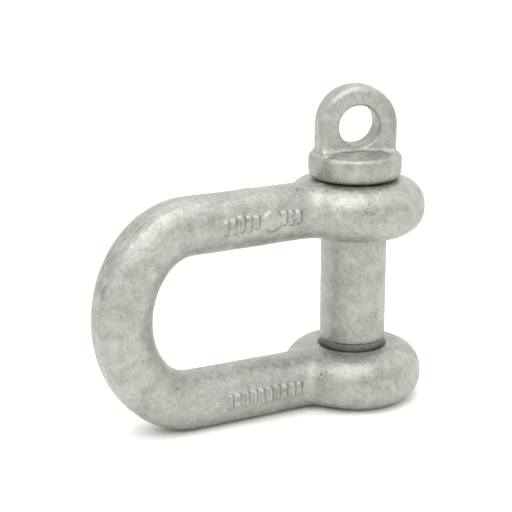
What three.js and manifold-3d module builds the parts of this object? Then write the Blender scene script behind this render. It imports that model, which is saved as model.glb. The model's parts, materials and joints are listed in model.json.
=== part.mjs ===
// Dee shackle with a screw collar pin: a forged, galvanised body bent from round bar into a D,
// an ear at the end of each limb, and an eye pin that passes the upper ear and screws into the lower one.
// Millimetres, +Z up along the pin, the bow towards -X. The shackle stands on its lower limb and lower ear,
// and the origin is the middle of its footprint on that surface.

import * as THREE from "three";
import { mergeVertices } from "three/addons/utils/BufferGeometryUtils.js";
import Module from "manifold-3d";

// ---- Body ----
const BAR_R = 11; // 22 mm round bar
const JAW = 44.5; // clear width between the ears
const INSIDE_REACH = 86; // pin axis to the inside of the crown
const CROWN_RATIO = 0.82; // depth of the bow's half ellipse over its half width
const BAR_SIDES = 32;
const LAND_R = BAR_R * Math.cos(Math.PI / 8); // bar axis to the flat left by the trimmed flash
const EAR_R = 26.5;
const UPPER_EAR_T = 20.5;
const LOWER_EAR_T = 21;
const EAR_EDGE_R = 9.6; // the ears' edges are almost fully round
const EAR_SIDES = 44;
const FILLET_R = 12; // in plan, where a limb widens into its ear
const PIN_HOLE_R = 13; // clearance hole in the upper ear

// ---- Pin ----
const PIN_R = 12.5; // 25 mm plain shank
const COLLAR_R = 17.5;
const COLLAR_H = 10;
const COLLAR_GAP = 0.6; // collar to upper ear with the pin screwed home
const EYE_R = 15; // half the eye's width, and the radius of its round top
const EYE_T = 12;
const EYE_RISE = 10; // top of the collar to the centre of the eye
const EYE_HOLE_R = 7.7;
const EYE_EDGE = 2.6; // rounding of the eye's outer edge
const EYE_MOUTH = 0.8; // bevel round its hole
const EYE_ROOT_R = 2.6; // fillet from its faces into the collar's top
const EYE_ROOT_REACH = 14.2; // half the fillet's length
const EYE_TURN = -18; // degrees about the pin, screwed home
const SHANK_END_GAP = 2.8; // shoulder of the shank above the lower ear
const NECK_R = 11.4; // plain neck under the shoulder
const ROUND_SIDES = 40;

// ---- Thread, right-hand ----
const PITCH = 3;
const THREAD_R = 12; // 24 mm over the crests
const THREAD_DEPTH = 1.62;
const THREAD_SIDES = 24; // facets in a turn
const CREST = 0.375;
const FLANK = (PITCH - CREST - 0.75) / 2;
const THREAD_PLAY = 0.3; // radial gap between pin thread and ear thread
const FLANK_PLAY = 0.2; // gap along the pin at each flank
const COUNTERSINK_R = 13.3;
const TIP_RECESS = 1; // end of the pin inside the lower ear's outer face

// Heights above the middle of the jaw.
const JAW_TOP = JAW / 2;
const JAW_BOTTOM = -JAW / 2;
const UPPER_EAR_TOP = JAW_TOP + UPPER_EAR_T;
const BASE = JAW_BOTTOM - LOWER_EAR_T;
const LIMB_AXIS = -BASE - LAND_R; // each limb's axis above or below the middle
const CROWN_X = -(INSIDE_REACH + BAR_R);
const BOW_DEPTH = LIMB_AXIS * CROWN_RATIO;
const BOW_START = CROWN_X + BOW_DEPTH;
const COLLAR_BOTTOM = UPPER_EAR_TOP + COLLAR_GAP;
const COLLAR_TOP = COLLAR_BOTTOM + COLLAR_H;
const SHANK_BOTTOM = JAW_BOTTOM + SHANK_END_GAP;
const TIP = BASE + TIP_RECESS;

const wasm = await Module();
wasm.setup();

// A closed three.js geometry as a solid that can be joined and cut.
function solid(geometry) {
  const bare = geometry.clone();
  bare.deleteAttribute("normal");
  bare.deleteAttribute("uv");
  const merged = mergeVertices(bare, 1e-4);
  return new wasm.Manifold(
    new wasm.Mesh({
      numProp: 3,
      vertProperties: new Float32Array(merged.attributes.position.array),
      triVerts: new Uint32Array(merged.index.array),
    }),
  );
}

function geometryOf(shape) {
  const { vertProperties, triVerts } = shape.getMesh();
  const geometry = new THREE.BufferGeometry();
  geometry.setAttribute("position", new THREE.BufferAttribute(vertProperties, 3));
  geometry.setIndex(new THREE.BufferAttribute(triVerts, 1));
  geometry.computeVertexNormals();
  return geometry;
}

// A body turned about Z from a profile of [radius, height] points, given from the bottom up.
function turned(profile, sides) {
  const points = profile.map(([r, z]) => new THREE.Vector2(r, z));
  return new THREE.LatheGeometry(points, sides).rotateX(Math.PI / 2);
}

// A closed skin over rings of equally many points, each ring anticlockwise seen from the next one.
function skin(rings) {
  const n = rings[0].length;
  const last = (rings.length - 1) * n;
  const points = rings.flat();
  const faces = [];
  for (let start = 0; start < last; start += n)
    for (let i = 0; i < n; i++) {
      const a = start + i;
      const b = start + ((i + 1) % n);
      faces.push(a, b, b + n, a, b + n, a + n);
    }
  for (let i = 1; i + 1 < n; i++) faces.push(0, i + 1, i, last, last + i, last + i + 1);
  const geometry = new THREE.BufferGeometry().setFromPoints(points);
  geometry.setIndex(faces);
  return geometry;
}

// Section of the bar at point p: round, with the flash land on its outer side.
function barRing(p, tangent, outward) {
  const side = new THREE.Vector3().crossVectors(tangent, outward);
  return Array.from({ length: BAR_SIDES }, (_, i) => {
    const angle = (i / BAR_SIDES) * 2 * Math.PI;
    const onLand = Math.cos(angle) > Math.cos(Math.PI / 8) - 1e-6;
    const r = onLand ? LAND_R / Math.cos(angle) : BAR_R;
    return p
      .clone()
      .addScaledVector(outward, r * Math.cos(angle))
      .addScaledVector(side, r * Math.sin(angle));
  });
}

// The D-shaped bar, from the lower ear round the bow to the upper ear.
function dBar() {
  const rings = [];
  const steps = 24;
  const limb = (sign, x) =>
    barRing(new THREE.Vector3(x, 0, sign * LIMB_AXIS), new THREE.Vector3(sign, 0, 0), new THREE.Vector3(0, 0, sign));
  for (const x of [-14, -30, -48]) rings.push(limb(-1, x));
  for (let i = 0; i <= steps; i++) {
    const t = (i / steps - 0.5) * Math.PI;
    const p = new THREE.Vector3(BOW_START - BOW_DEPTH * Math.cos(t), 0, LIMB_AXIS * Math.sin(t));
    const tangent = new THREE.Vector3(BOW_DEPTH * Math.sin(t), 0, LIMB_AXIS * Math.cos(t)).normalize();
    const outward = new THREE.Vector3(-tangent.z, 0, tangent.x);
    rings.push(barRing(p, tangent, outward));
  }
  for (const x of [-48, -30, -14]) rings.push(limb(1, x));
  return solid(skin(rings));
}

// An ear is a thick disc with almost fully round edges.
function ear(bottom, thickness) {
  const rim = EAR_R - EAR_EDGE_R;
  const arc = (height, from) =>
    [0, 1, 2, 3, 4].map((i) => {
      const angle = from + (i / 4) * (Math.PI / 2);
      return [rim + EAR_EDGE_R * Math.cos(angle), height + EAR_EDGE_R * Math.sin(angle)];
    });
  const low = bottom + EAR_EDGE_R;
  const high = bottom + thickness - EAR_EDGE_R;
  return solid(
    turned([[0, bottom], ...arc(low, -Math.PI / 2), ...arc(high, 0), [0, bottom + thickness]], EAR_SIDES),
  );
}

// The widening of a limb into its ear: stadium sections that follow a fillet tangent to bar and ear.
function shoulder(bottom, thickness, sign) {
  const centreY = BAR_R + FILLET_R;
  const centreX = -Math.sqrt((EAR_R + FILLET_R) ** 2 - centreY ** 2);
  const tangentX = (centreX * EAR_R) / (EAR_R + FILLET_R);
  const middle = bottom + thickness / 2;
  const quarter = 7;
  const stations = [centreX, 0.75, 0.5, 0.25, 0].map((x, i) =>
    i ? tangentX + (centreX - tangentX) * x : x,
  );
  const ring = (x, halfWidth, blend) => {
    const height = THREE.MathUtils.lerp(LAND_R, thickness / 2, blend);
    const z = THREE.MathUtils.lerp(sign * LIMB_AXIS, middle, blend);
    const flat = halfWidth - height;
    return Array.from({ length: 4 * quarter }, (_, i) => {
      const angle = ((i + 0.5) / (4 * quarter)) * 2 * Math.PI;
      const y = height * Math.cos(angle) + Math.sign(Math.cos(angle)) * Math.max(flat, 0);
      return new THREE.Vector3(x, y, z + height * Math.sin(angle));
    });
  };
  const rings = stations.map((x) => {
    const y = centreY - Math.sqrt(FILLET_R ** 2 - (x - centreX) ** 2);
    return ring(x, y, (x - centreX) / (tangentX - centreX));
  });
  rings.push(ring(-12, Math.sqrt(EAR_R ** 2 - 12 ** 2) - 3, 1));
  return solid(skin(rings));
}

// A threaded rod: a root and a crest joined by two flanks, wound up a right-hand helix and closed at both
// ends by a fan of faces round the axis.
function threadedRod(crestR, crest, bottom, turns) {
  const rootR = crestR - THREAD_DEPTH;
  const root = PITCH - crest - 2 * FLANK;
  const profile = [
    [rootR, -root / 2],
    [rootR, root / 2],
    [crestR, root / 2 + FLANK],
    [crestR, root / 2 + FLANK + crest],
  ];
  const columns = turns * THREAD_SIDES;
  const points = [];
  for (let c = 0; c <= columns; c++) {
    const angle = (c / THREAD_SIDES) * 2 * Math.PI;
    for (const [r, z] of profile) {
      const height = bottom + z + (c / THREAD_SIDES) * PITCH;
      points.push(new THREE.Vector3(r * Math.cos(angle), r * Math.sin(angle), height));
    }
  }
  const at = (c, i) => 4 * c + i;
  const faces = [];
  const quad = (a, b, c, d) => faces.push(a, b, c, a, c, d);
  for (let c = 0; c < columns; c++) {
    for (let i = 0; i < 3; i++) quad(at(c, i), at(c + 1, i), at(c + 1, i + 1), at(c, i + 1));
    if (c + 1 + THREAD_SIDES <= columns)
      quad(at(c, 3), at(c + 1, 3), at(c + 1 + THREAD_SIDES, 0), at(c + THREAD_SIDES, 0));
  }
  const first = Array.from({ length: THREAD_SIDES + 1 }, (_, c) => at(c, 0));
  const top = Array.from({ length: THREAD_SIDES + 1 }, (_, c) => at(columns - THREAD_SIDES + c, 3));
  const lowLoop = [...first, at(0, 3), at(0, 2), at(0, 1)];
  const highLoop = [...top, at(columns, 2), at(columns, 1), at(columns, 0)];
  const close = (loop, height, reversed) => {
    const hub = points.length;
    points.push(new THREE.Vector3(0, 0, height));
    loop.forEach((a, i) => {
      const b = loop[(i + 1) % loop.length];
      faces.push(...(reversed ? [hub, b, a] : [hub, a, b]));
    });
  };
  close(lowLoop, bottom + PITCH / 2, true);
  close(highLoop, bottom + (turns - 0.5) * PITCH, false);
  const geometry = new THREE.BufferGeometry().setFromPoints(points);
  geometry.setIndex(faces);
  return solid(geometry);
}

function body() {
  const upper = [JAW_TOP, UPPER_EAR_T, 1];
  const lower = [BASE, LOWER_EAR_T, -1];
  let shape = dBar();
  for (const [bottom, thickness, sign] of [upper, lower])
    shape = shape.add(shoulder(bottom, thickness, sign)).add(ear(bottom, thickness));
  const hole = turned(
    [
      [0, JAW_TOP - 2],
      [PIN_HOLE_R, JAW_TOP - 2],
      [PIN_HOLE_R, UPPER_EAR_TOP + 2],
      [0, UPPER_EAR_TOP + 2],
    ],
    ROUND_SIDES,
  );
  const tapR = THREAD_R + THREAD_PLAY;
  const tap = threadedRod(tapR, CREST + 2 * FLANK_PLAY, TIP - 2 * PITCH, 11);
  const countersink = turned(
    [
      [0, JAW_BOTTOM - COUNTERSINK_R],
      [COUNTERSINK_R, JAW_BOTTOM],
      [COUNTERSINK_R, JAW_BOTTOM + 8],
      [0, JAW_BOTTOM + 8],
    ],
    ROUND_SIDES,
  );
  return shape.subtract(solid(hole)).subtract(tap).subtract(solid(countersink));
}

// The plain shank, from under the collar to its shoulder above the lower ear.
function shank() {
  return turned(
    [
      [0, SHANK_BOTTOM],
      [PIN_R - 0.4, SHANK_BOTTOM],
      [PIN_R, SHANK_BOTTOM + 0.4],
      [PIN_R, COLLAR_BOTTOM],
      [0, COLLAR_BOTTOM],
    ],
    ROUND_SIDES,
  );
}

// The threaded end: the thread with a bevel at each end, a relief above it, and a plain neck.
function pinThread() {
  const rootR = THREAD_R - THREAD_DEPTH;
  const reliefR = rootR - 0.4;
  const blank = turned(
    [
      [0, TIP],
      [rootR, TIP],
      [THREAD_R + 0.2, TIP + 2],
      [THREAD_R + 0.2, SHANK_BOTTOM - 6.6],
      [reliefR, SHANK_BOTTOM - 5.2],
      [reliefR, SHANK_BOTTOM],
      [0, SHANK_BOTTOM],
    ],
    ROUND_SIDES,
  );
  const neck = turned(
    [
      [0, SHANK_BOTTOM - 5],
      [reliefR, SHANK_BOTTOM - 4.6],
      [NECK_R, SHANK_BOTTOM - 3],
      [NECK_R, SHANK_BOTTOM],
      [0, SHANK_BOTTOM],
    ],
    ROUND_SIDES,
  );
  return threadedRod(THREAD_R, CREST, TIP - 2 * PITCH, 11)
    .intersect(solid(blank))
    .add(solid(neck));
}

// Collar and eye, forged in one.
function head() {
  const collar = turned(
    [
      [0, COLLAR_BOTTOM],
      [COLLAR_R - 2.6, COLLAR_BOTTOM],
      [COLLAR_R - 0.8, COLLAR_BOTTOM + 0.9],
      [COLLAR_R, COLLAR_BOTTOM + 2.6],
      [COLLAR_R, COLLAR_TOP - 2.2],
      [COLLAR_R - 0.5, COLLAR_TOP - 1.1],
      [COLLAR_R - 1.6, COLLAR_TOP - 0.6],
      [EYE_R - 5, COLLAR_TOP],
      [0, COLLAR_TOP],
    ],
    ROUND_SIDES,
  );
  const root = -(EYE_RISE + COLLAR_H / 2);
  const half = EYE_R - EYE_EDGE;
  const outline = new THREE.Shape();
  outline.moveTo(-half, root);
  outline.lineTo(half, root);
  outline.lineTo(half, 0);
  outline.absarc(0, 0, half, 0, Math.PI, false);
  outline.lineTo(-half, root);
  const plate = new THREE.ExtrudeGeometry(outline, {
    depth: EYE_T - 2 * EYE_EDGE,
    curveSegments: 16,
    bevelThickness: EYE_EDGE,
    bevelSize: EYE_EDGE,
    bevelSegments: 3,
  });
  plate.translate(0, 0, -(EYE_T / 2 - EYE_EDGE));
  const past = EYE_T / 2 + 1;
  const flare = EYE_MOUTH + 1;
  const opening = turned(
    [
      [0, -past],
      [EYE_HOLE_R + flare, -past],
      [EYE_HOLE_R, flare - past],
      [EYE_HOLE_R, past - flare],
      [EYE_HOLE_R + flare, past],
      [0, past],
    ],
    ROUND_SIDES,
  );
  const rootFace = [0, 1, 2, 3, 4].map((i) => {
    const angle = (i / 4) * (Math.PI / 2);
    return [EYE_T / 2 + EYE_ROOT_R * (1 - Math.cos(angle)), COLLAR_TOP + EYE_ROOT_R * (1 - Math.sin(angle))];
  });
  rootFace.push([rootFace[4][0], COLLAR_TOP - 3]);
  const rootOutline = [...rootFace, ...rootFace.map(([y, z]) => [-y, z]).reverse()];
  const rootShape = new THREE.Shape(rootOutline.map(([y, z]) => new THREE.Vector2(y, z)));
  const ridge = new THREE.ExtrudeGeometry(rootShape, { depth: 2 * EYE_ROOT_REACH, bevelEnabled: false })
    .rotateX(Math.PI / 2)
    .rotateZ(Math.PI / 2)
    .translate(-EYE_ROOT_REACH, 0, 0)
    .rotateZ(THREE.MathUtils.degToRad(EYE_TURN));
  const placed = (geometry) =>
    solid(
      geometry
        .rotateX(Math.PI / 2)
        .translate(0, 0, COLLAR_TOP + EYE_RISE)
        .rotateZ(THREE.MathUtils.degToRad(EYE_TURN)),
    );
  return solid(collar).add(placed(plate)).add(solid(ridge)).subtract(placed(opening));
}

const zinc = (color, roughness) => new THREE.MeshStandardMaterial({ color, roughness, metalness: 0.85 });

function piece(name, geometry, material) {
  const mesh = new THREE.Mesh(geometry, material);
  mesh.name = name;
  return mesh;
}

const pin = new THREE.Group();
pin.add(
  piece("pin_head", geometryOf(head()), zinc(0xb9bab2, 0.55)),
  piece("pin_shank", shank(), zinc(0xb2b4ad, 0.5)),
  piece("pin_thread", geometryOf(pinThread()), zinc(0x9a9c98, 0.45)),
);

const shackle = new THREE.Group();
shackle.add(piece("shackle_body", geometryOf(body()), zinc(0xb6b7b0, 0.58)), pin);
shackle.position.set(-(CROWN_X - LAND_R + EAR_R) / 2, 0, -BASE);

const part = new THREE.Group();
part.add(shackle);

export default part;
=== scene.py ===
import json
import math

import bpy
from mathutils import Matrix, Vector

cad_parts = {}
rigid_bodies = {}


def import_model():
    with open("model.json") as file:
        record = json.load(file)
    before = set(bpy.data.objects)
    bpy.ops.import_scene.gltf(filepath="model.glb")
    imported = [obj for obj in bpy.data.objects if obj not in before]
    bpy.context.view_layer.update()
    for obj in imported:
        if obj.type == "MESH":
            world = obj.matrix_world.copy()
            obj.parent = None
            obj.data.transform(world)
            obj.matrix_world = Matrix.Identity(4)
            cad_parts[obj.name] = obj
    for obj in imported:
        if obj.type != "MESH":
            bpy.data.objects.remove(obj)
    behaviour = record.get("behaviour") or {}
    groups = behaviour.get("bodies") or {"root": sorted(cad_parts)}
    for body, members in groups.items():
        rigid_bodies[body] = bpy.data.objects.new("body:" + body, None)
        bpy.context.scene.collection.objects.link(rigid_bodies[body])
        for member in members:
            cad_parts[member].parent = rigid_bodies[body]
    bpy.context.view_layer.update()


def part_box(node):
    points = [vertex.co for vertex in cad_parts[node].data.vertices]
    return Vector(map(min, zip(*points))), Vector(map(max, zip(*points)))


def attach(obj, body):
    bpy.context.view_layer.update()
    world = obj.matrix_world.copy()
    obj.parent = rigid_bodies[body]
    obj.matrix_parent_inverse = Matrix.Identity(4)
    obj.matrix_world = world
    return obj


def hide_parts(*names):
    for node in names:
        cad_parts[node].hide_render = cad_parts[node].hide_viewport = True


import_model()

mm = 0.001
shankLow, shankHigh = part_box("pin_shank")
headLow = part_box("pin_head")[0]
threadLow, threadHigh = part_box("pin_thread")

pinX = (shankLow.x + shankHigh.x) / 2
collarZ = headLow.z  # underside of the collar

# sizes in millimetres, heights counted from the surface the shackle stands on
bodyPlan = {
    "barRadius": 11.0,
    "jawWidth": 44.5,
    "insideReach": 86.0,
    "crownRatio": 0.82,
    "earRadius": 26.5,
    "upperEarThickness": 20.5,
    "lowerEarThickness": 21.0,
    "earEdge": 9.6,
    "filletRadius": 12.0,
    "landDepth": 0.84,
    "trimDepth": 4.0,
    "trimStations": 110,
    # across the trimmed flash: (out from its middle, below its flat)
    "trimFlat": [(step, 0) for step in range(8)],
    "trimBand": [
        (0, 0),
        (1.35, 0),
        (2.7, 0),
        (2.9, 0.24),
        (3.9, 0.42),
        (5.0, 0.68),
        (6.0, 1.02),
        (7.0, 1.45),
    ],
    "crownLand": 0.1,  # how much less is trimmed off at the crown than on the limbs
    "landFade": [(-62, 14), (-54, 20), (-44, 20)],  # from here on, how often smoothed
    "fadeEnd": -20,
    "fadeHeight": 8,  # above the limb's axis
    "swell": 0.12,  # grown a little, because the smoothing takes this much off
    "voxel": 0.8,
    "smoothing": 9,
    "shoulderSmoothing": [(-46, -6, 10), (-41, -10, 16), (-36, -14, 18)],  # from, to, how often
    "waves": 0.30,
    "waveSize": 11.0,
    "hammering": 0.10,
    "hammeringSize": 3.2,
    "dip": 0.10,
    "dipSize": 4.5,
    "pinHole": 13.0,
    "mouth": 0.9,
}

pinPlan = {
    "shankRadius": 12.5,
    "collarRadius": 17.5,
    "collarHeight": 10.0,
    "eyeRadius": 15.0,
    "eyeThickness": 12.0,
    "eyeRise": 10.0,
    "eyeHole": 7.7,
    "eyeEdge": 3.0,
    "eyeTurn": -18.0,
    "rootFillet": 2.6,
    "rootReach": 14.2,
    "mouth": 0.9,
    "neckRadius": 11.7,
    "voxel": 0.45,
    "smoothing": 5,
    "waves": 0.2,
    "hammering": 0.08,
}

threadPlan = {
    "pitch": 3.0,
    "crestRadius": 12.0,
    "depth": 1.62,
    "play": 0.3,
    "worn": 0.12,
    "steps": 72,
}


def clearSelection():
    if bpy.context.object and bpy.context.object.mode != "OBJECT":
        bpy.ops.object.mode_set(mode="OBJECT")
    bpy.ops.object.select_all(action="DESELECT")


def makeActive(obj):
    clearSelection()
    obj.select_set(True)
    bpy.context.view_layer.objects.active = obj


def settle(obj, name):
    # name the piece and put its place into its mesh
    makeActive(obj)
    bpy.ops.object.transform_apply(location=True, rotation=True, scale=True)
    obj.name = name
    obj.data.name = name
    return obj


def applyModifier(obj, kind, **values):
    makeActive(obj)
    modifier = obj.modifiers.new(kind.title(), kind)
    for key, value in values.items():
        setattr(modifier, key, value)
    bpy.ops.object.modifier_apply(modifier=modifier.name)


def cutWith(obj, tool, operation="DIFFERENCE"):
    applyModifier(obj, "BOOLEAN", operation=operation, object=tool, solver="EXACT")
    bpy.data.objects.remove(tool)


def tidyShell(obj):
    makeActive(obj)
    bpy.ops.object.mode_set(mode="EDIT")
    bpy.ops.mesh.select_all(action="SELECT")
    bpy.ops.mesh.remove_doubles(threshold=0.00001)
    bpy.ops.mesh.normals_make_consistent(inside=False)
    bpy.ops.object.mode_set(mode="OBJECT")


def shapeStrip(obj, profile, middle):
    # the strip's vertices stand 1 mm apart along Y; move each pair, then lift its upper side to the profile
    for side in (-1, 1):
        for step, (out, lift) in enumerate(profile):
            column = [v.index for v in obj.data.vertices if abs(v.co.y - side * step * mm) < 0.2 * mm]
            if step == 0 or lift == 0 and out == step:
                continue
            upper = {i for i in column if obj.data.vertices[i].co.z > middle}
            selectThese(obj, set(column))
            bpy.ops.transform.translate(value=(0, side * (out - step) * mm, 0))
            bpy.ops.object.mode_set(mode="OBJECT")
            selectThese(obj, upper)
            bpy.ops.transform.translate(value=(0, 0, lift * mm))
            bpy.ops.object.mode_set(mode="OBJECT")


def sweep(name, path, sides=None, radius=0.0, profile=None, depth=0.0):
    # extrude a round face, or a strip with the profile along its upper side, along path,
    # a list of (x, z, heading in radians)
    clearSelection()
    x, z, heading = path[0]
    if sides:
        bpy.ops.mesh.primitive_circle_add(
            vertices=sides,
            radius=radius,
            fill_type="NGON",
            location=(x, 0, z),
            rotation=(0, math.pi / 2 - heading, 0),
        )
    else:
        strips = 2 * (len(profile) - 1)
        bpy.ops.mesh.primitive_grid_add(
            x_subdivisions=1,
            y_subdivisions=strips,
            size=1,
            location=(x, 0, z),
            rotation=(0, math.pi / 2 - heading, 0),
        )
        bpy.context.object.scale = (depth, strips * mm, 1)
    obj = settle(bpy.context.object, name)
    if profile:
        shapeStrip(obj, profile, z)
    bpy.ops.object.mode_set(mode="EDIT")
    bpy.ops.mesh.select_all(action="SELECT")
    for newX, newZ, newHeading in path[1:]:
        bpy.ops.mesh.extrude_region_move(TRANSFORM_OT_translate={"value": (newX - x, 0, newZ - z)})
        if abs(newHeading - heading) > 1e-6:
            bpy.ops.transform.rotate(
                value=newHeading - heading, orient_axis="Y", center_override=(newX, 0, newZ)
            )
        x, z, heading = newX, newZ, newHeading
    bpy.ops.object.mode_set(mode="OBJECT")
    tidyShell(obj)
    return obj


def turnUp(name, x, z, profile, sides):
    # raise a round solid ring by ring from a profile of (radius, height) in millimetres
    clearSelection()
    radius, height = profile[0]
    bpy.ops.mesh.primitive_circle_add(
        vertices=sides, radius=radius * mm, fill_type="NGON", location=(x, 0, z + height * mm)
    )
    obj = settle(bpy.context.object, name)
    bpy.ops.object.mode_set(mode="EDIT")
    bpy.ops.mesh.select_all(action="SELECT")
    for newRadius, newHeight in profile[1:]:
        rise = (newHeight - height) * mm
        bpy.ops.mesh.extrude_region_move(TRANSFORM_OT_translate={"value": (0, 0, rise)})
        if newRadius != radius:
            ratio = newRadius / radius
            bpy.ops.transform.resize(value=(ratio, ratio, 1), center_override=(x, 0, z + newHeight * mm))
        radius, height = newRadius, newHeight
    bpy.ops.object.mode_set(mode="OBJECT")
    tidyShell(obj)
    return obj


def selectEdges(obj, wanted):
    # in edit mode, select the edges whose two ends both pass the test
    makeActive(obj)
    bpy.ops.object.mode_set(mode="EDIT")
    bpy.ops.mesh.select_mode(type="EDGE")
    bpy.ops.mesh.select_all(action="DESELECT")
    bpy.ops.object.mode_set(mode="OBJECT")
    for edge in obj.data.edges:
        a, b = (obj.data.vertices[i].co for i in edge.vertices)
        edge.select = wanted(a, b)
    bpy.ops.object.mode_set(mode="EDIT")


def joinAll(first, *others):
    clearSelection()
    for obj in others:
        obj.select_set(True)
    first.select_set(True)
    bpy.context.view_layer.objects.active = first
    bpy.ops.object.join()
    return first


jawLow = bodyPlan["lowerEarThickness"]
jawHigh = jawLow + bodyPlan["jawWidth"]
middleZ = jawLow + bodyPlan["jawWidth"] / 2
landRadius = bodyPlan["barRadius"] - bodyPlan["landDepth"]
limbAxis = middleZ - landRadius


def bowPath(offset=0.0, steps=28, limbEnd=-14.0, limbSteps=2, crownOffset=0.0):
    # the bar's centreline from the lower ear round the bow to the upper ear, or a line that far outside it
    depth = limbAxis * bodyPlan["crownRatio"]
    start = -(bodyPlan["insideReach"] + bodyPlan["barRadius"]) + depth
    limb = [limbEnd + (-53.0 - limbEnd) * i / limbSteps for i in range(limbSteps + 1)]
    path = [(x, -limbAxis - offset, math.pi) for x in limb]
    for i in range(steps + 1):
        t = (i / steps - 0.5) * math.pi
        tangentX, tangentZ = depth * math.sin(t), limbAxis * math.cos(t)
        length = math.hypot(tangentX, tangentZ)
        out = offset + crownOffset * tangentZ / length
        x = start - depth * math.cos(t) - out * tangentZ / length
        z = limbAxis * math.sin(t) + out * tangentX / length
        path.append((x, z, math.atan2(tangentZ, tangentX)))
    path += [(x, limbAxis + offset, 0.0) for x in reversed(limb)]
    return [(pinX + x * mm, (middleZ + z) * mm, heading) for x, z, heading in path]


def makeEar(name, low, thickness):
    p = bodyPlan
    clearSelection()
    bpy.ops.mesh.primitive_cylinder_add(
        vertices=72,
        radius=(p["earRadius"] + p["swell"]) * mm,
        depth=(thickness + p["swell"]) * mm,
        location=(pinX, 0, (low + thickness / 2) * mm),
    )
    ear = settle(bpy.context.object, name)
    selectEdges(ear, lambda a, b: abs(a.z - b.z) < 1e-6)
    bpy.ops.mesh.bevel(offset=p["earEdge"] * mm, segments=9, affect="EDGES")
    bpy.ops.object.mode_set(mode="OBJECT")
    return ear


def spreadRing(obj, amount):
    # move the two halves of the selected ring apart along Y, and leave it selected
    bpy.ops.object.mode_set(mode="OBJECT")
    ring = [v.index for v in obj.data.vertices if v.select]
    for side in (-1, 1):
        for v in obj.data.vertices:
            v.select = v.index in ring and v.co.y * side > 1e-6
        bpy.ops.object.mode_set(mode="EDIT")
        bpy.ops.transform.translate(value=(0, side * amount, 0))
        bpy.ops.object.mode_set(mode="OBJECT")
    for v in obj.data.vertices:
        v.select = v.index in ring
    bpy.ops.object.mode_set(mode="EDIT")


def makeShoulder(name, low, thickness):
    # the limb widens into its ear along a round fillet on each side
    p = bodyPlan
    sideY = p["barRadius"] + p["filletRadius"]
    reach = p["earRadius"] + p["filletRadius"]
    filletX = -math.sqrt(reach**2 - sideY**2)
    tangentX = filletX * p["earRadius"] / reach
    half = (thickness + p["swell"]) / 2
    stations = []
    for i in range(9):
        x = filletX + (tangentX - filletX) * i / 8
        stations.append((x, sideY - math.sqrt(p["filletRadius"] ** 2 - (x - filletX) ** 2)))
    stations.append((-12.0, math.sqrt(p["earRadius"] ** 2 - 144) - 2.5))
    z = (low + thickness / 2) * mm
    clearSelection()
    bpy.ops.mesh.primitive_circle_add(
        vertices=40,
        radius=half * mm,
        fill_type="NGON",
        location=(pinX + (filletX - 3) * mm, 0, z),
        rotation=(0, math.pi / 2, 0),
    )
    web = settle(bpy.context.object, name)
    bpy.ops.object.mode_set(mode="EDIT")
    bpy.ops.mesh.select_mode(type="VERT")
    bpy.ops.mesh.select_all(action="SELECT")
    x, width = filletX - 3, half
    for newX, newWidth in stations:
        bpy.ops.mesh.extrude_region_move(TRANSFORM_OT_translate={"value": ((newX - x) * mm, 0, 0)})
        spreadRing(web, (newWidth - width) * mm)
        x, width = newX, newWidth
    bpy.ops.object.mode_set(mode="OBJECT")
    tidyShell(web)
    return web


def makeForging():
    p = bodyPlan
    print("body: bar, ears and shoulders")
    forging = sweep("shackle_forging", bowPath(), sides=40, radius=(p["barRadius"] + p["swell"]) * mm)
    parts = []
    for label, low, thickness in (
        ("lower", 0.0, p["lowerEarThickness"]),
        ("upper", jawHigh, p["upperEarThickness"]),
    ):
        parts.append(makeEar(label + "_ear", low, thickness))
        parts.append(makeShoulder(label + "_web", low, thickness))
    joinAll(forging, *parts)
    applyModifier(forging, "REMESH", mode="VOXEL", voxel_size=p["voxel"] * mm, use_smooth_shade=True)
    applyModifier(forging, "SMOOTH", factor=0.5, iterations=p["smoothing"])
    # the limbs run into the ears without an edge
    for start, end, repeat in p["shoulderSmoothing"]:
        near = {v.index for v in forging.data.vertices if start * mm < v.co.x - pinX < end * mm}
        selectThese(forging, near)
        bpy.ops.mesh.vertices_smooth(factor=0.5, repeat=repeat)
        bpy.ops.object.mode_set(mode="OBJECT")
    return forging


def roughen(obj, depth, size):
    # forging and zinc never leave a surface quite even
    clouds = bpy.data.textures.new(obj.name + "_clouds", "CLOUDS")
    clouds.noise_scale = size * mm
    clouds.noise_depth = 2
    applyModifier(
        obj,
        "DISPLACE",
        texture=clouds,
        texture_coords="LOCAL",
        strength=depth * mm,
        mid_level=0.5,
    )
    bpy.data.textures.remove(clouds)


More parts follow.
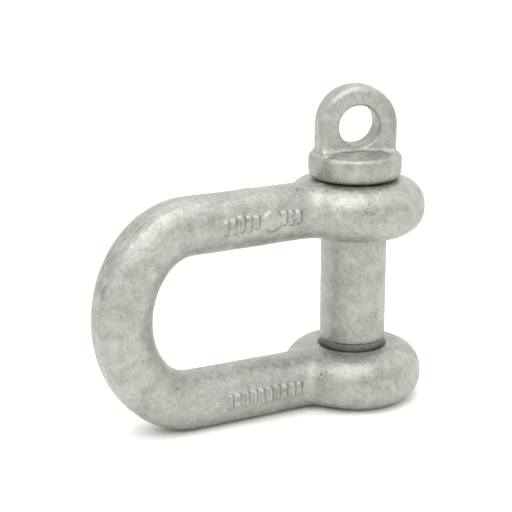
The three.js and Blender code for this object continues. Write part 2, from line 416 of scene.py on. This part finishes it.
# worn strokes and a round boss stand where such forgings carry their marks:
# (x from the pin, place round the limb, width, length, height)
markPlan = {
    "lowX": -64.0,  # the stretch of limb that is divided finely for them
    "highX": -26.5,
    "halfHeight": 5.6,
    "softHeight": 4.8,
    "softening": 26,
    "slant": 0.07,
    "turn": {"upper": 3.0, "lower": 3.0},  # degrees above the limb's side
    "upper": [
        (-60.6, -0.6, 1.5, 4.6, 1.2),
        (-57.8, 0.9, 1.6, 2.8, 1.5),
        (-57.5, -2.2, 1.5, 1.6, 1.1),
        (-54.3, 0.2, 1.7, 5.2, 1.6),
        (-51.4, 1.4, 1.6, 2.4, 1.5),
        (-51.1, -1.7, 1.5, 2.4, 1.2),
        (-48.2, 0.1, 1.5, 4.8, 1.4),
        (-36.8, 0.2, 1.6, 4.8, 1.5),
        (-34.0, 1.7, 1.6, 2.0, 1.5),
        (-33.7, -1.5, 1.7, 2.2, 1.2),
        (-30.8, 0.0, 1.7, 4.4, 1.5),
    ],
    "lower": [
        (-59.2, 0.0, 1.6, 5.4, 1.5),
        (-56.0, 1.5, 1.7, 2.4, 1.4),
        (-55.8, -1.8, 1.6, 2.0, 1.2),
        (-52.6, 0.1, 1.7, 5.4, 1.5),
        (-49.2, 0.2, 1.6, 5.2, 1.6),
        (-46.0, 1.5, 1.6, 2.2, 1.4),
        (-45.8, -1.6, 1.7, 2.4, 1.4),
        (-42.6, 0.0, 1.6, 5.4, 1.5),
        (-39.4, 0.3, 1.6, 4.8, 1.5),
        (-36.2, 1.6, 1.7, 2.2, 1.4),
        (-36.0, -1.6, 1.6, 2.2, 1.3),
        (-32.8, 0.0, 1.7, 5.2, 1.5),
        (-29.9, 0.2, 1.4, 4.6, 1.2),
    ],
    "boss": (-41.6, -0.2, 3.8, 1.0),  # x, place round the limb, radius, height
}


def raiseMarks(forging, side):
    p = markPlan
    axisZ = middleZ + (limbAxis if side == "upper" else -limbAxis)
    centre = math.radians(p["turn"][side])

    def unrolled(co):
        # millimetres along the limb and round it, or nothing off its near side
        if co.y > -4 * mm or abs(co.z / mm - axisZ) > 11:
            return None
        angle = math.atan2(co.z / mm - axisZ, -co.y / mm)
        return (co.x - pinX) / mm, (angle - centre) * bodyPlan["barRadius"]

    def near(co):
        at = unrolled(co)
        return at is not None and p["lowX"] < at[0] < p["highX"] and abs(at[1]) < p["halfHeight"]

    selectFaces(forging, near)
    bpy.ops.mesh.subdivide(number_cuts=3, smoothness=0)
    bpy.ops.object.mode_set(mode="OBJECT")
    field = [(v.index, unrolled(v.co)) for v in forging.data.vertices if near(v.co)]
    for x, around, width, length, height in p[side]:
        stroke = set()
        for i, (u, w) in field:
            if abs(u - x - p["slant"] * w) < width / 2 and abs(w - around) < length / 2:
                stroke.add(i)
        selectThese(forging, stroke)
        bpy.ops.transform.shrink_fatten(value=height * mm)
        bpy.ops.object.mode_set(mode="OBJECT")
    if side == "upper":
        x, around, radius, height = p["boss"]
        selectThese(forging, {i for i, (u, w) in field if math.hypot(u - x, w - around) < radius})
        bpy.ops.transform.shrink_fatten(value=height * mm)
        bpy.ops.object.mode_set(mode="OBJECT")
    selectThese(forging, {i for i, (u, w) in field if abs(w) < p["softHeight"]})
    bpy.ops.mesh.vertices_smooth(factor=0.5, repeat=p["softening"])
    bpy.ops.object.mode_set(mode="OBJECT")


def trimFlash(forging):
    # the trimmed flash leaves a flat round the outside of the bar, and a narrow raised band round the bow
    p = bodyPlan
    print("body: trimmed flash")
    # the lower limb and ear stand flat on the ground
    clearSelection()
    bpy.ops.mesh.primitive_cube_add(size=1, location=(0, 0, -0.004))
    bpy.context.object.scale = (0.2, 0.1, 0.008)
    cutWith(forging, settle(bpy.context.object, "ground_trim"))
    # name, profile, level over the flat's own, and how far along the limbs it goes;
    # the levels differ so that no two cuts share a plane
    bands = [
        ("flat_trim", p["trimFlat"], -0.04, -9.0, 24),
        ("band_trim", p["trimBand"], 0.02, -47.0, 4),
    ]
    for name, profile, level, limbEnd, limbSteps in bands:
        path = bowPath(
            landRadius + level + p["trimDepth"] / 2,
            steps=p["trimStations"],
            limbEnd=limbEnd,
            limbSteps=limbSteps,
            crownOffset=p["crownLand"],
        )
        cutWith(forging, sweep(name, path, profile=profile, depth=p["trimDepth"] * mm))
    # the flat's edges fade out along the upper limb
    for start, repeat in p["landFade"]:
        edge = set()
        for v in forging.data.vertices:
            outward = v.co.z - (middleZ + limbAxis) * mm
            if outward > p["fadeHeight"] * mm and start * mm < v.co.x - pinX < p["fadeEnd"] * mm:
                edge.add(v.index)
        selectThese(forging, edge)
        bpy.ops.mesh.vertices_smooth(factor=0.5, repeat=repeat)
        bpy.ops.object.mode_set(mode="OBJECT")


def drillEars(forging):
    p = bodyPlan
    print("body: holes")
    hole, flare = p["pinHole"], p["mouth"]
    top = jawHigh + p["upperEarThickness"]
    profile = [
        (hole + flare + 1.5, jawHigh - 1.5),
        (hole, jawHigh + flare),
        (hole, top - flare),
        (hole + flare + 1.5, top + 1.5),
    ]
    cutWith(forging, turnUp("pin_hole_cutter", pinX, 0, profile, 96))
    sink = threadPlan["crestRadius"] + 1.3
    countersink = [(0.5, jawLow - sink + 0.5), (sink, jawLow), (sink + 1, jawLow + 1)]
    cutWith(forging, turnUp("countersink", pinX, 0, countersink, 96))
    backSink = [(sink + 1.6, -1.6), (sink - 1.6, 1.6), (1, 1.7)]
    cutWith(forging, turnUp("back_sink", pinX, 0, backSink, 96))
    cutWith(forging, makeScrew("tap", threadPlan["play"], -3.0, jawLow + 3.0))


def closeEnd(screw, upper):
    # a fan of faces over one open end
    makeActive(screw)
    middle = sum(v.co.z for v in screw.data.vertices) / len(screw.data.vertices)
    bpy.ops.object.mode_set(mode="EDIT")
    bpy.ops.mesh.select_mode(type="EDGE")
    bpy.ops.mesh.select_all(action="DESELECT")
    bpy.ops.mesh.select_non_manifold()
    bpy.ops.object.mode_set(mode="OBJECT")
    rim = set()
    for edge in screw.data.edges:
        if edge.select and (screw.data.vertices[edge.vertices[0]].co.z > middle) == upper:
            rim.add(edge.index)
    for vertex in screw.data.vertices:
        vertex.select = False
    for edge in screw.data.edges:
        edge.select = edge.index in rim
        for i in edge.vertices if edge.select else ():
            screw.data.vertices[i].select = True
    bpy.ops.object.mode_set(mode="EDIT")
    bpy.ops.mesh.extrude_edges_move(TRANSFORM_OT_translate={"value": (0, 0, 0)})
    bpy.ops.mesh.merge(type="CENTER")
    bpy.ops.object.mode_set(mode="OBJECT")


def makeScrew(name, grow, bottom, top):
    # wind the thread's profile up a right-hand helix and close its ends
    p = threadPlan
    crest = p["crestRadius"] + grow
    root = crest - p["depth"]
    pitch = p["pitch"]
    crestWidth = pitch / 8 + grow * 1.2
    flank = p["depth"] * math.tan(math.radians(30))
    rootWidth = pitch - crestWidth - 2 * flank
    turns = int((top - bottom) / pitch) + 3
    phase = threadLow.z / mm - pitch * math.ceil((threadLow.z / mm - bottom) / pitch + 1)
    rise = rootWidth / 2 + flank
    worn = p["worn"]
    profile = [
        (root, -rootWidth / 2),
        (root, rootWidth / 2),
        (crest - worn, rise - worn * 0.5),
        (crest, rise + worn * 0.4),
        (crest, rise + crestWidth - worn * 0.4),
        (crest - worn, rise + crestWidth + worn * 0.5),
        (root, pitch - rootWidth / 2),
    ]
    clearSelection()
    bpy.ops.mesh.primitive_plane_add(size=mm, location=(0, 0, 0))
    screw = bpy.context.object
    bpy.ops.object.mode_set(mode="EDIT")
    bpy.ops.mesh.select_mode(type="VERT")
    bpy.ops.mesh.select_all(action="SELECT")
    bpy.ops.mesh.merge(type="CENTER")
    bpy.ops.transform.translate(value=(profile[0][0] * mm, 0, profile[0][1] * mm))
    for (r0, z0), (r1, z1) in zip(profile, profile[1:]):
        move = ((r1 - r0) * mm, 0, (z1 - z0) * mm)
        bpy.ops.mesh.extrude_vertices_move(TRANSFORM_OT_translate={"value": move})
    bpy.ops.object.mode_set(mode="OBJECT")
    applyModifier(
        screw,
        "SCREW",
        axis="Z",
        angle=2 * math.pi,
        screw_offset=pitch * mm,
        iterations=turns,
        steps=p["steps"],
        render_steps=p["steps"],
    )
    screw.location = (pinX, 0, phase * mm)
    settle(screw, name)
    bpy.ops.object.mode_set(mode="EDIT")
    bpy.ops.mesh.select_all(action="SELECT")
    bpy.ops.mesh.remove_doubles(threshold=0.000005)
    bpy.ops.object.mode_set(mode="OBJECT")
    closeEnd(screw, False)
    closeEnd(screw, True)
    tidyShell(screw)
    return screw


def selectThese(obj, indices):
    # in edit mode, select the vertices with these indices
    makeActive(obj)
    bpy.ops.object.mode_set(mode="EDIT")
    bpy.ops.mesh.select_mode(type="VERT")
    bpy.ops.mesh.select_all(action="DESELECT")
    bpy.ops.object.mode_set(mode="OBJECT")
    for vertex in obj.data.vertices:
        vertex.select = vertex.index in indices
    bpy.ops.object.mode_set(mode="EDIT")


def selectFaces(obj, wanted):
    # in edit mode, select the faces whose middle passes the test
    makeActive(obj)
    bpy.ops.object.mode_set(mode="EDIT")
    bpy.ops.mesh.select_mode(type="FACE")
    bpy.ops.mesh.select_all(action="DESELECT")
    bpy.ops.object.mode_set(mode="OBJECT")
    for face in obj.data.polygons:
        face.select = wanted(face.center)
    bpy.ops.object.mode_set(mode="EDIT")


def makeEye():
    # half a disc drawn down to straight sides, its outer edges rounded, standing on the pin's axis
    p = pinPlan
    top = collarZ / mm + p["collarHeight"]
    eyeZ = (top + p["eyeRise"]) * mm
    clearSelection()
    bpy.ops.mesh.primitive_cylinder_add(
        vertices=72,
        radius=p["eyeRadius"] * mm,
        depth=p["eyeThickness"] * mm,
        location=(0, 0, eyeZ),
        rotation=(math.pi / 2, 0, 0),
    )
    eye = settle(bpy.context.object, "eye_plate")
    bpy.ops.object.mode_set(mode="EDIT")
    bpy.ops.mesh.select_all(action="SELECT")
    bpy.ops.mesh.bisect(plane_co=(0, 0, eyeZ), plane_no=(0, 0, 1), clear_inner=True, use_fill=True)
    bpy.ops.object.mode_set(mode="OBJECT")
    selectFaces(eye, lambda middle: middle.z < eyeZ + 1e-6)
    drop = -(p["eyeRise"] + p["collarHeight"] / 2) * mm
    bpy.ops.mesh.extrude_region_move(TRANSFORM_OT_translate={"value": (0, 0, drop)})
    bpy.ops.mesh.select_mode(type="EDGE")
    bpy.ops.mesh.select_all(action="DESELECT")
    bpy.ops.mesh.edges_select_sharp(sharpness=math.radians(60))
    bpy.ops.mesh.bevel(offset=p["eyeEdge"] * mm, segments=6, affect="EDGES")
    bpy.ops.object.mode_set(mode="OBJECT")
    tidyShell(eye)
    return eye, eyeZ


def makeRootFillet(top):
    # the eye's faces sweep out into the collar's top
    p = pinPlan
    fillet, half = p["rootFillet"], p["eyeThickness"] / 2
    clearSelection()
    bpy.ops.mesh.primitive_plane_add(size=1, location=(0, 0, (top + fillet) * mm))
    bpy.context.object.scale = (2 * p["rootReach"] * mm, 2 * half * mm, 1)
    ridge = settle(bpy.context.object, "eye_root")
    bpy.ops.object.mode_set(mode="EDIT")
    bpy.ops.mesh.select_all(action="SELECT")
    z, width = top + fillet, half
    for i in range(1, 7):
        angle = i / 6 * math.pi / 2
        newZ, newWidth = top + fillet * (1 - math.sin(angle)), half + fillet * (1 - math.cos(angle))
        bpy.ops.mesh.extrude_region_move(TRANSFORM_OT_translate={"value": (0, 0, (newZ - z) * mm)})
        bpy.ops.transform.resize(value=(1, newWidth / width, 1), center_override=(0, 0, newZ * mm))
        z, width = newZ, newWidth
    bpy.ops.mesh.extrude_region_move(TRANSFORM_OT_translate={"value": (0, 0, -3 * mm)})
    bpy.ops.object.mode_set(mode="OBJECT")
    tidyShell(ridge)
    return ridge


def makePinHead():
    p = pinPlan
    print("pin: collar and eye")
    low = collarZ / mm
    top = low + p["collarHeight"]
    r = p["collarRadius"]
    side = [(-2.6, 0), (-1.2, 0.3), (-0.4, 1.1), (-0.05, 2.4), (0.1, 4.6), (0.1, 6.6)]
    side += [(0.0, 7.9), (-0.3, 8.7), (-1.0, 9.2), (-4.0, 10.0), (-7.5, 10.8)]
    head = turnUp("pin_eye_and_collar", 0, 0, [(r + dr, low + dz) for dr, dz in side], 96)
    eye, eyeZ = makeEye()
    joinAll(head, eye, makeRootFillet(top))
    applyModifier(head, "REMESH", mode="VOXEL", voxel_size=p["voxel"] * mm, use_smooth_shade=True)
    applyModifier(head, "SMOOTH", factor=0.5, iterations=p["smoothing"])
    roughen(head, p["waves"], 8.0)
    roughen(head, p["hammering"], 2.4)
    # the hole is punched after the smoothing, with a small round mouth on each side
    hole, half, mouth = p["eyeHole"], p["eyeThickness"] / 2, p["mouth"]
    arc = [(hole + mouth * (1 - math.cos(a)), half - mouth * (1 - math.sin(a))) for a in (0, 0.4, 0.8, 1.2)]
    arc.append((hole + mouth + 0.8, half + 0.6))
    punch = turnUp("eye_punch", 0, 0, [(r, -z) for r, z in reversed(arc)] + arc, 96)
    punch.rotation_euler = (math.pi / 2, 0, 0)
    punch.location = (0, 0, eyeZ)
    cutWith(head, settle(punch, punch.name))
    head.rotation_euler = (0, 0, math.radians(p["eyeTurn"]))
    head.location = (pinX, 0, 0)
    return settle(head, head.name)


def makeShank():
    # from the relief above the thread, by the neck and the shoulder, up to the fillet under the collar
    p = pinPlan
    print("pin: shank")
    low, high = shankLow.z / mm, shankHigh.z / mm
    r, neck = p["shankRadius"], p["neckRadius"]
    root = threadPlan["crestRadius"] - threadPlan["depth"]
    profile = [
        (root - 0.45, low - 4.9),
        (root - 0.4, low - 4.6),
        (neck - 0.2, low - 3.1),
        (neck, low - 2.7),
        (neck, low - 0.5),
        (neck + 0.2, low - 0.1),
        (r - 0.4, low + 0.15),
        (r - 0.1, low + 0.4),
        (r, low + 0.8),
    ]
    steps = 30
    for i in range(1, steps + 1):
        profile.append((r, low + 0.8 + (high - 1.9 - low) * i / steps))
    profile += [(r + 0.1, high - 0.8), (r + 0.4, high - 0.25), (r + 0.9, high)]
    shank = turnUp("pin_shank_plain", pinX, 0, profile, 120)
    roughen(shank, p["hammering"], 5.0)
    return shank


def makeThread():
    print("pin: thread")
    low, high = threadLow.z / mm, threadHigh.z / mm
    crest = threadPlan["crestRadius"]
    root = crest - threadPlan["depth"]
    thread = makeScrew("pin_threaded_end", 0.0, low, high)
    profile = [
        (root - 1.0, low),
        (root - 0.3, low + 0.3),
        (crest + 0.2, low + 2.2),
        (crest + 0.2, high - 6.6),
        (root - 0.3, high - 5.3),
        (root - 0.4, high - 5.0),
        (root - 0.4, high - 4.7),
    ]
    cutWith(thread, turnUp("thread_blank", pinX, 0, profile, 96), "INTERSECT")
    return thread


def softenMarks(forging):
    # only the trimmed bands and the drilled edges stay sharp
    axes = [(middleZ + side * limbAxis) * mm for side in (-1, 1)]

    def onMarks(at):
        level = min(abs(at.z - z) for z in axes)
        return at.y < 0 and level < 8 * mm and -66 * mm < at.x - pinX < -25 * mm

    selectFaces(forging, onMarks)
    bpy.ops.mesh.mark_sharp(clear=True)
    bpy.ops.object.mode_set(mode="OBJECT")


zincPlan = {
    "body": {
        "grey": (0.305, 0.314, 0.306),
        "pale": (0.475, 0.48, 0.443),
        "olive": (0.215, 0.20, 0.135),
        "stains": 0.75,
        "roughness": (0.38, 0.56),
        "peel": 1.0,
        "turn": (0.4, 0.2, 0.7),
    },
    "pin": {
        "grey": (0.285, 0.294, 0.286),
        "pale": (0.455, 0.46, 0.425),
        "olive": (0.205, 0.192, 0.13),
        "stains": 0.7,
        "roughness": (0.38, 0.56),
        "peel": 0.85,
        "turn": (1.1, 0.6, 0.1),
    },
    "thread": {
        "grey": (0.20, 0.205, 0.20),
        "pale": (0.40, 0.40, 0.38),
        "olive": (0.13, 0.115, 0.08),
        "stains": 0.9,
        "roughness": (0.34, 0.56),
        "peel": 0.5,
        "turn": (0.2, 1.3, 0.5),
    },
}


def addNode(tree, kind, **inputs):
    node = tree.nodes.new("ShaderNode" + kind)
    for key, value in inputs.items():
        node.inputs[key.replace("_", " ")].default_value = value
    return node


def addNoise(tree, where, scale, detail, roughness=0.55, distortion=0.0):
    node = addNode(tree, "TexNoise", Scale=scale, Detail=detail, Roughness=roughness, Distortion=distortion)
    tree.links.new(where, node.inputs["Vector"])
    return node.outputs["Fac"]


def addRange(tree, value, low, high, newLow=0.0, newHigh=1.0):
    node = addNode(tree, "MapRange", From_Min=low, From_Max=high, To_Min=newLow, To_Max=newHigh)
    tree.links.new(value, node.inputs["Value"])
    return node.outputs["Result"]


def addMaths(tree, operation, first, second):
    node = tree.nodes.new("ShaderNodeMath")
    node.operation = operation
    for socket, value in zip(node.inputs, (first, second)):
        if isinstance(value, (int, float)):
            socket.default_value = value
        else:
            tree.links.new(value, socket)
    return node.outputs[0]


def addMix(tree, factor, first, second, blend="MIX"):
    node = tree.nodes.new("ShaderNodeMix")
    node.data_type = "RGBA"
    node.blend_type = blend
    sockets = [node.inputs[0], node.inputs[6], node.inputs[7]]
    for socket, value in zip(sockets, (factor, first, second)):
        if isinstance(value, tuple):
            socket.default_value = (*value, 1)
        elif isinstance(value, (int, float)):
            socket.default_value = value
        else:
            tree.links.new(value, socket)
    return node.outputs[2]


def makeZinc(name, p):
    # hot-dip zinc: cool and pale grey mottling, clusters of olive stains, olive grime and painted shade in
    # the creases, orange peel, small pits
    zinc = bpy.data.materials.new(name)
    zinc.use_nodes = True
    tree = zinc.node_tree
    shader = tree.nodes["Principled BSDF"]
    coords = tree.nodes.new("ShaderNodeTexCoord")
    turn = addNode(tree, "Mapping", Rotation=p["turn"])
    tree.links.new(coords.outputs["Object"], turn.inputs["Vector"])
    where = turn.outputs["Vector"]

    clouds = addNoise(tree, where, 48, 4, 0.6, 0.3)
    patches = addNoise(tree, where, 120, 5, 0.65, 0.4)
    mottles = addNoise(tree, where, 380, 5, 0.7, 0.5)
    specks = addNoise(tree, where, 1250, 4, 0.75)
    peel = addNoise(tree, where, 640, 3, 0.6)
    grain = addNoise(tree, where, 2300, 2, 0.6)
    spangle = addNode(tree, "TexVoronoi", Scale=420)
    tree.links.new(where, spangle.inputs["Vector"])
    pits = addNode(tree, "TexVoronoi", Scale=150)
    tree.links.new(where, pits.inputs["Vector"])

    # colour
    mixed = addMaths(tree, "MULTIPLY", mottles, 0.45)
    mixed = addMaths(tree, "ADD", mixed, addMaths(tree, "MULTIPLY", specks, 0.40))
    mixed = addMaths(tree, "ADD", mixed, addMaths(tree, "MULTIPLY", clouds, 0.15))
    colour = addMix(tree, addRange(tree, mixed, 0.40, 0.60), p["grey"], p["pale"])
    facet = tree.nodes.new("ShaderNodeSeparateColor")
    tree.links.new(spangle.outputs["Color"], facet.inputs["Color"])
    tone = addRange(tree, facet.outputs["Red"], 0, 1, 0.93, 1.07)
    colour = addMix(tree, 1.0, colour, tone, "MULTIPLY")
    stained = addRange(tree, patches, 0.47, 0.60, 0.06, 1.0)
    spotted = addRange(tree, specks, 0.46, 0.60)
    stain = addMaths(tree, "MULTIPLY", addMaths(tree, "MULTIPLY", stained, spotted), p["stains"])
    colour = addMix(tree, stain, colour, p["olive"])
    # olive grime and painted shade: concave creases and hollows, found by their pointiness, are mixed
    # towards olive and darkened
    hollows = tree.nodes.new("ShaderNodeNewGeometry").outputs["Pointiness"]
    creaseGrimeAndShade = addMaths(tree, "MULTIPLY", addRange(tree, hollows, 0.482, 0.43), 0.75)
    colour = addMix(tree, creaseGrimeAndShade, colour, p["olive"])
    pitted = addRange(tree, pits.outputs["Distance"], 0.13, 0.05)
    pitted = addMaths(tree, "MULTIPLY", pitted, addRange(tree, patches, 0.50, 0.58))
    colour = addMix(tree, addMaths(tree, "MULTIPLY", pitted, 0.8), colour, (0.13, 0.115, 0.075))
    tree.links.new(colour, shader.inputs["Base Color"])

    # finish
    shader.inputs["Metallic"].default_value = 0.85
    low, high = p["roughness"]
    tree.links.new(addRange(tree, mottles, 0.38, 0.64, low, high), shader.inputs["Roughness"])

    # relief, in metres
    layers = [
        (patches, 0.00030 * p["peel"]),
        (peel, 0.00026 * p["peel"]),
        (grain, 0.00010 * p["peel"]),
        (pitted, -0.00005),
    ]
    normal = None
    for height, distance in layers:
        bump = addNode(tree, "Bump", Strength=1.0, Distance=abs(distance))
        bump.invert = distance < 0
        tree.links.new(height, bump.inputs["Height"])
        if normal:
            tree.links.new(normal, bump.inputs["Normal"])
        normal = bump.outputs["Normal"]
    tree.links.new(normal, shader.inputs["Normal"])
    return zinc


def finishPiece(obj, body, node, sharpness, zinc):
    makeActive(obj)
    bpy.ops.object.shade_smooth_by_angle(angle=math.radians(sharpness))
    obj.data.materials.clear()
    obj.data.materials.append(zinc)
    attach(obj, body)
    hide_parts(node)


forging = makeForging()
print("body: marks")
raiseMarks(forging, "upper")
raiseMarks(forging, "lower")
roughen(forging, bodyPlan["waves"], bodyPlan["waveSize"])
roughen(forging, bodyPlan["hammering"], bodyPlan["hammeringSize"])
trimFlash(forging)
roughen(forging, bodyPlan["dip"], bodyPlan["dipSize"])
drillEars(forging)
pinHead = makePinHead()
pinShank = makeShank()
pinThread = makeThread()

print("zinc")
zincBody = makeZinc("dipped_zinc_body", zincPlan["body"])
zincPin = makeZinc("dipped_zinc_pin", zincPlan["pin"])
zincThread = makeZinc("dull_cut_thread", zincPlan["thread"])
finishPiece(forging, "shackle", "shackle_body", 17, zincBody)
finishPiece(pinHead, "pin_screw", "pin_head", 35, zincPin)
finishPiece(pinShank, "pin_carrier", "pin_shank", 35, zincPin)
finishPiece(pinThread, "pin_screw", "pin_thread", 35, zincThread)
softenMarks(forging)

print("studio")
studioPlan = {
    "floor": (0.93, 0.93, 0.925),
    "floorSize": 8.0,
    "dimAir": (0.40, 0.41, 0.415),  # low on the left
    "brightAir": (1.0, 1.0, 0.985),
    "airStrength": 1.5,
    "lens": 105.08,
    "azimuth": -29.15,
    "elevation": 15.53,
    "distance": 0.54916,
    "target": (-0.0022, 0.0, 0.0612),
}
# name, direction and height in degrees, distance, size, watts, colour
lights = [
    ("key_softbox", -38, 50, 1.1, 0.8, 4.2, (1.0, 0.985, 0.94)),
    ("left_softbox", -95, 35, 1.2, 0.7, 1.4, (1.0, 0.99, 0.96)),
    ("top_softbox", -60, 84, 1.1, 0.7, 3.2, (1.0, 0.995, 0.98)),
]


def direction(azimuth, elevation):
    a, e = math.radians(azimuth), math.radians(elevation)
    return Vector((math.sin(a) * math.cos(e), -math.cos(a) * math.cos(e), math.sin(e)))


clearSelection()
bpy.ops.mesh.primitive_plane_add(size=studioPlan["floorSize"], location=(0, 0, 0))
floor = settle(bpy.context.object, "floor")
paper = bpy.data.materials.new("pale_paper")
paper.use_nodes = True
paperShader = paper.node_tree.nodes["Principled BSDF"]
paperShader.inputs["Base Color"].default_value = (*studioPlan["floor"], 1)
paperShader.inputs["Roughness"].default_value = 0.95
paperShader.inputs["Specular IOR Level"].default_value = 0.1
floor.data.materials.append(paper)

world = bpy.data.worlds.new("studio_air")
bpy.context.scene.world = world
world.use_nodes = True
airTree = world.node_tree
toward = addNode(airTree, "SeparateXYZ")
airTree.links.new(airTree.nodes.new("ShaderNodeTexCoord").outputs["Generated"], toward.inputs[0])
sideways = addMaths(airTree, "MULTIPLY", toward.outputs["X"], 0.45)
sideways = addMaths(airTree, "ADD", sideways, addMaths(airTree, "MULTIPLY", toward.outputs["Y"], 0.15))
level = addMaths(airTree, "ADD", addMaths(airTree, "MULTIPLY", toward.outputs["Z"], 0.9), sideways)
air = addMix(airTree, addRange(airTree, level, -0.4, 0.9), studioPlan["dimAir"], studioPlan["brightAir"])
airTree.links.new(air, airTree.nodes["Background"].inputs["Color"])
airTree.nodes["Background"].inputs["Strength"].default_value = studioPlan["airStrength"]

target = Vector(studioPlan["target"])
for name, azimuth, elevation, distance, size, watts, colour in lights:
    back = direction(azimuth, elevation)
    turned = back.to_track_quat("Z", "Y").to_euler()
    bpy.ops.object.light_add(type="AREA", location=target + back * distance, rotation=turned)
    lamp = bpy.context.object
    lamp.name = name
    lamp.data.shape = "SQUARE"
    lamp.data.size = size
    lamp.data.energy = watts
    lamp.data.color = colour

back = direction(studioPlan["azimuth"], studioPlan["elevation"])
turned = back.to_track_quat("Z", "Y").to_euler()
bpy.ops.object.camera_add(location=target + back * studioPlan["distance"], rotation=turned)
camera = bpy.context.object
camera.data.lens = studioPlan["lens"]
camera.data.sensor_width = 36
camera.data.clip_start = 0.01
bpy.context.scene.camera = camera
bpy.context.scene.view_settings.view_transform = "Standard"
